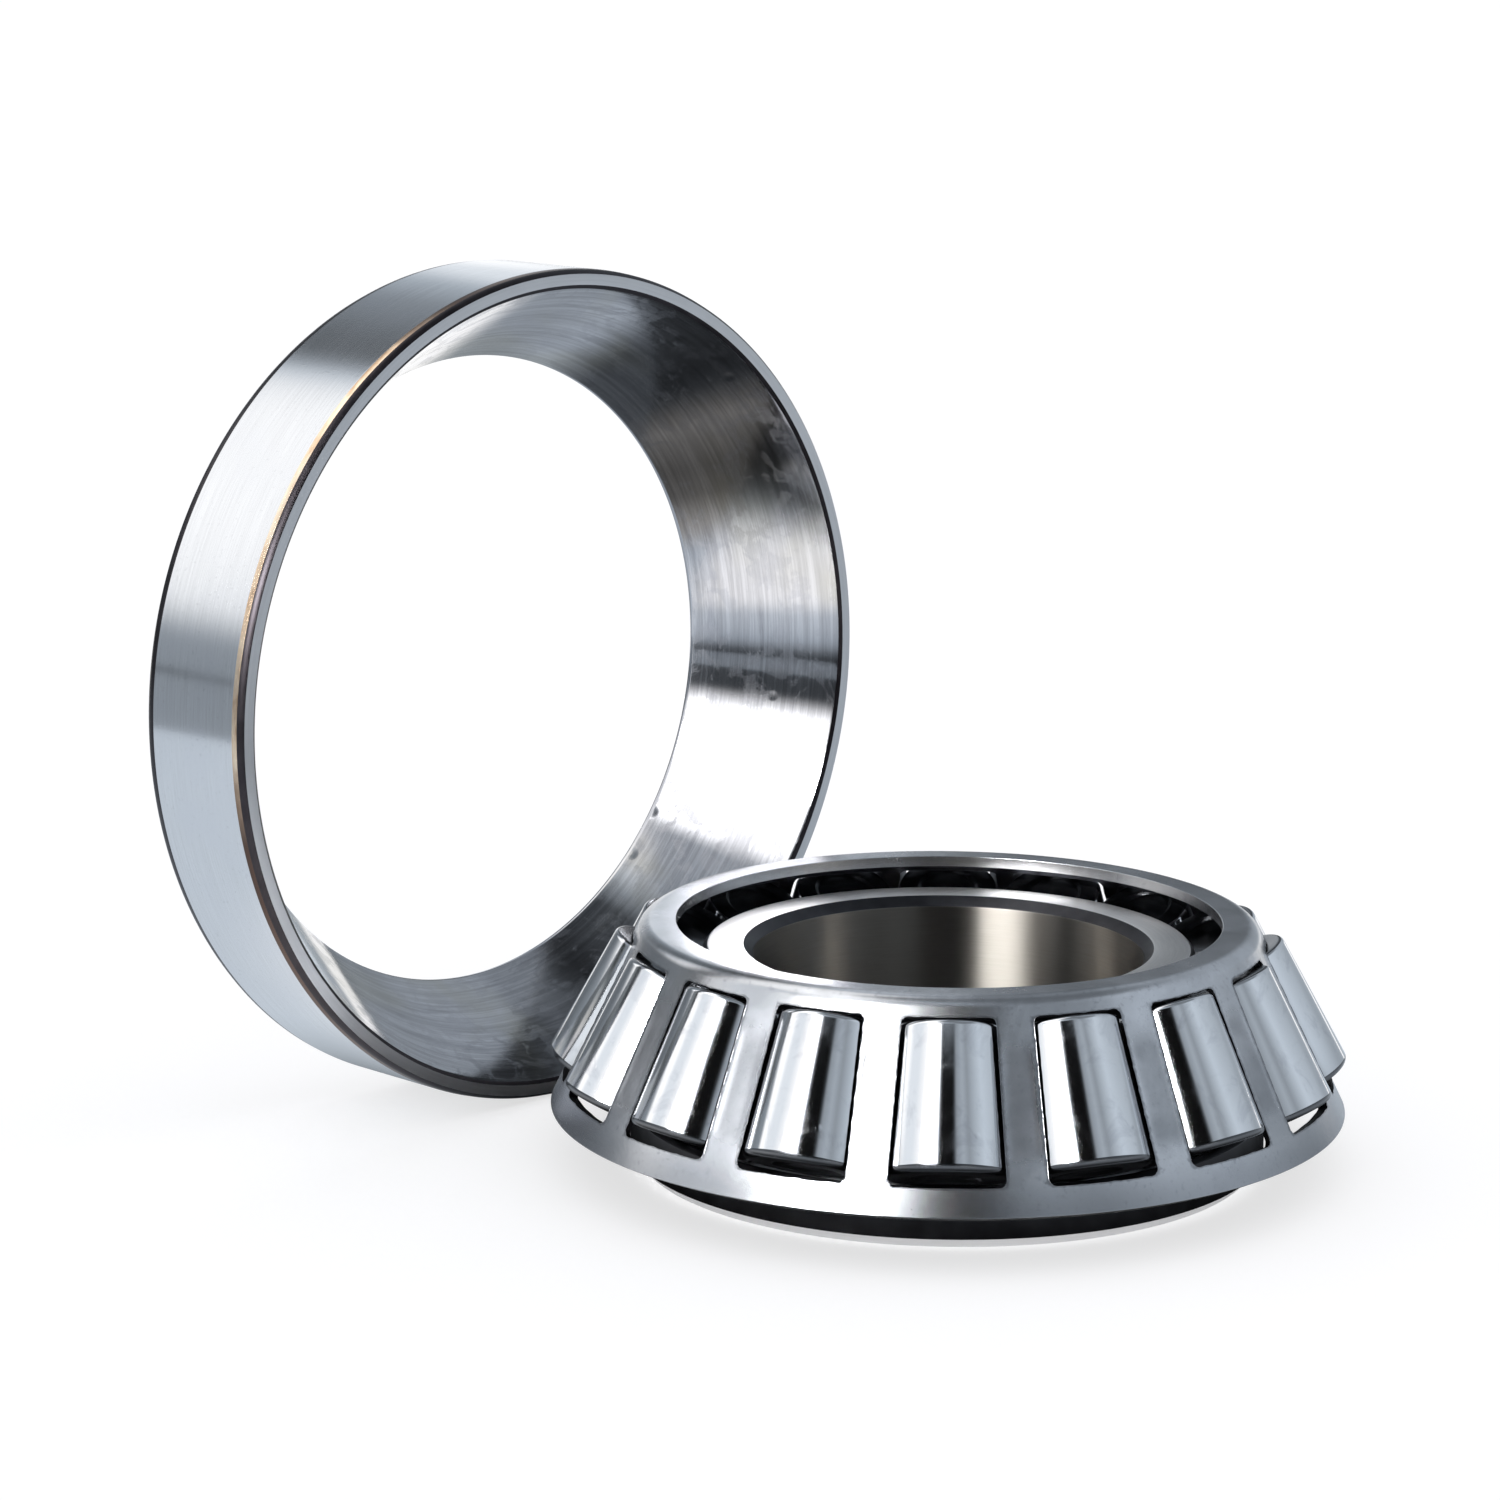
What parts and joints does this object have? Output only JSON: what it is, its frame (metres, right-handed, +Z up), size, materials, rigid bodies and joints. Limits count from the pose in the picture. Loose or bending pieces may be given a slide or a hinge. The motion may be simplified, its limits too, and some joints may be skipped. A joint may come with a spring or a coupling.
{
  "type": "tapered roller bearing",
  "caption": "Steep-angle tapered roller bearing in two halves: a cone assembly with caged tapered rollers, and a separate cup with a conical raceway.",
  "frame": {"origin": "on the ground, under the middle of the whole layout's box", "axes": "+Z up along the cone assembly's axis, from its back face to its front face; +X to the right and +Y away from the viewer; the cup stands at -X +Y with its wide mouth towards +X -Y"},
  "size_m": [0.1372, 0.1171, 0.1],
  "materials": {
    "cup_steel": "ground outside and faces, honed raceway",
    "cone_steel": "ground faces, bore and raceway",
    "cage_steel": "pressed sheet steel, satin",
    "roller_steel": "superfinished bearing steel, mirror polished, not plated"
  },
  "bodies": {
    "cage": {"cage": "cage_steel"},
    "cone": {"cone": "cone_steel"},
    "cup": {"cup": "cup_steel"},
    "roller_01": {"roller_01": "roller_steel"},
    "roller_02": {"roller_02": "roller_steel"},
    "roller_03": {"roller_03": "roller_steel"},
    "roller_04": {"roller_04": "roller_steel"},
    "roller_05": {"roller_05": "roller_steel"},
    "roller_06": {"roller_06": "roller_steel"},
    "roller_07": {"roller_07": "roller_steel"},
    "roller_08": {"roller_08": "roller_steel"},
    "roller_09": {"roller_09": "roller_steel"},
    "roller_10": {"roller_10": "roller_steel"},
    "roller_11": {"roller_11": "roller_steel"},
    "roller_12": {"roller_12": "roller_steel"},
    "roller_13": {"roller_13": "roller_steel"},
    "roller_14": {"roller_14": "roller_steel"},
    "roller_15": {"roller_15": "roller_steel"},
    "roller_16": {"roller_16": "roller_steel"}
  },
  "joints": [
    {"name": "cone_spin", "type": "hinge", "parent": "cage", "child": "cone", "pos_m": [0.0226, -0.01255, 0.0125], "axis": [0, 0, 1], "continuous": true},
    {"name": "roller_01_spin", "type": "hinge", "parent": "cage", "child": "roller_01", "pos_m": [0.02094, -0.05216, 0.0089], "axis": [0.0174, 0.4144, 0.9099], "continuous": true},
    {"name": "roller_02_spin", "type": "hinge", "parent": "cage", "child": "roller_02", "pos_m": [0.03623, -0.04978, 0.0089], "axis": [-0.1425, 0.3895, 0.9099], "continuous": true},
    {"name": "roller_03_spin", "type": "hinge", "parent": "cage", "child": "roller_03", "pos_m": [0.04944, -0.04174, 0.0089], "axis": [-0.2807, 0.3053, 0.9099], "continuous": true},
    {"name": "roller_04_spin", "type": "hinge", "parent": "cage", "child": "roller_04", "pos_m": [0.05856, -0.02924, 0.0089], "axis": [-0.3762, 0.1746, 0.9099], "continuous": true},
    {"name": "roller_05_spin", "type": "hinge", "parent": "cage", "child": "roller_05", "pos_m": [0.06221, -0.01421, 0.0089], "axis": [-0.4144, 0.0174, 0.9099], "continuous": true},
    {"name": "roller_06_spin", "type": "hinge", "parent": "cage", "child": "roller_06", "pos_m": [0.05983, 0.00108, 0.0089], "axis": [-0.3895, -0.1425, 0.9099], "continuous": true},
    {"name": "roller_07_spin", "type": "hinge", "parent": "cage", "child": "roller_07", "pos_m": [0.05179, 0.01429, 0.0089], "axis": [-0.3053, -0.2807, 0.9099], "continuous": true},
    {"name": "roller_08_spin", "type": "hinge", "parent": "cage", "child": "roller_08", "pos_m": [0.03929, 0.02341, 0.0089], "axis": [-0.1746, -0.3762, 0.9099], "continuous": true},
    {"name": "roller_09_spin", "type": "hinge", "parent": "cage", "child": "roller_09", "pos_m": [0.02426, 0.02706, 0.0089], "axis": [-0.0174, -0.4144, 0.9099], "continuous": true},
    {"name": "roller_10_spin", "type": "hinge", "parent": "cage", "child": "roller_10", "pos_m": [0.00897, 0.02468, 0.0089], "axis": [0.1425, -0.3895, 0.9099], "continuous": true},
    {"name": "roller_11_spin", "type": "hinge", "parent": "cage", "child": "roller_11", "pos_m": [-0.00424, 0.01664, 0.0089], "axis": [0.2807, -0.3053, 0.9099], "continuous": true},
    {"name": "roller_12_spin", "type": "hinge", "parent": "cage", "child": "roller_12", "pos_m": [-0.01336, 0.00414, 0.0089], "axis": [0.3762, -0.1746, 0.9099], "continuous": true},
    {"name": "roller_13_spin", "type": "hinge", "parent": "cage", "child": "roller_13", "pos_m": [-0.01701, -0.01089, 0.0089], "axis": [0.4144, -0.0174, 0.9099], "continuous": true},
    {"name": "roller_14_spin", "type": "hinge", "parent": "cage", "child": "roller_14", "pos_m": [-0.01463, -0.02618, 0.0089], "axis": [0.3895, 0.1425, 0.9099], "continuous": true},
    {"name": "roller_15_spin", "type": "hinge", "parent": "cage", "child": "roller_15", "pos_m": [-0.00659, -0.03939, 0.0089], "axis": [0.3053, 0.2807, 0.9099], "continuous": true},
    {"name": "roller_16_spin", "type": "hinge", "parent": "cage", "child": "roller_16", "pos_m": [0.00591, -0.04851, 0.0089], "axis": [0.1746, 0.3762, 0.9099], "continuous": true},
    {"name": "cup_tip", "type": "hinge", "parent": "cage", "child": "cup", "pos_m": [-0.01405, 0.01431, 0.0052], "axis": [0.5734, 0.8051, 0.1519], "range_deg": [0, 91.35]}
  ],
  "couplings": [
    {"joint": "roller_01_spin", "follows": "cone_spin", "ratio": -4.5968},
    {"joint": "roller_02_spin", "follows": "cone_spin", "ratio": -4.5968},
    {"joint": "roller_03_spin", "follows": "cone_spin", "ratio": -4.5968},
    {"joint": "roller_04_spin", "follows": "cone_spin", "ratio": -4.5968},
    {"joint": "roller_05_spin", "follows": "cone_spin", "ratio": -4.5968},
    {"joint": "roller_06_spin", "follows": "cone_spin", "ratio": -4.5968},
    {"joint": "roller_07_spin", "follows": "cone_spin", "ratio": -4.5968},
    {"joint": "roller_08_spin", "follows": "cone_spin", "ratio": -4.5968},
    {"joint": "roller_09_spin", "follows": "cone_spin", "ratio": -4.5968},
    {"joint": "roller_10_spin", "follows": "cone_spin", "ratio": -4.5968},
    {"joint": "roller_11_spin", "follows": "cone_spin", "ratio": -4.5968},
    {"joint": "roller_12_spin", "follows": "cone_spin", "ratio": -4.5968},
    {"joint": "roller_13_spin", "follows": "cone_spin", "ratio": -4.5968},
    {"joint": "roller_14_spin", "follows": "cone_spin", "ratio": -4.5968},
    {"joint": "roller_15_spin", "follows": "cone_spin", "ratio": -4.5968},
    {"joint": "roller_16_spin", "follows": "cone_spin", "ratio": -4.5968}
  ]
}
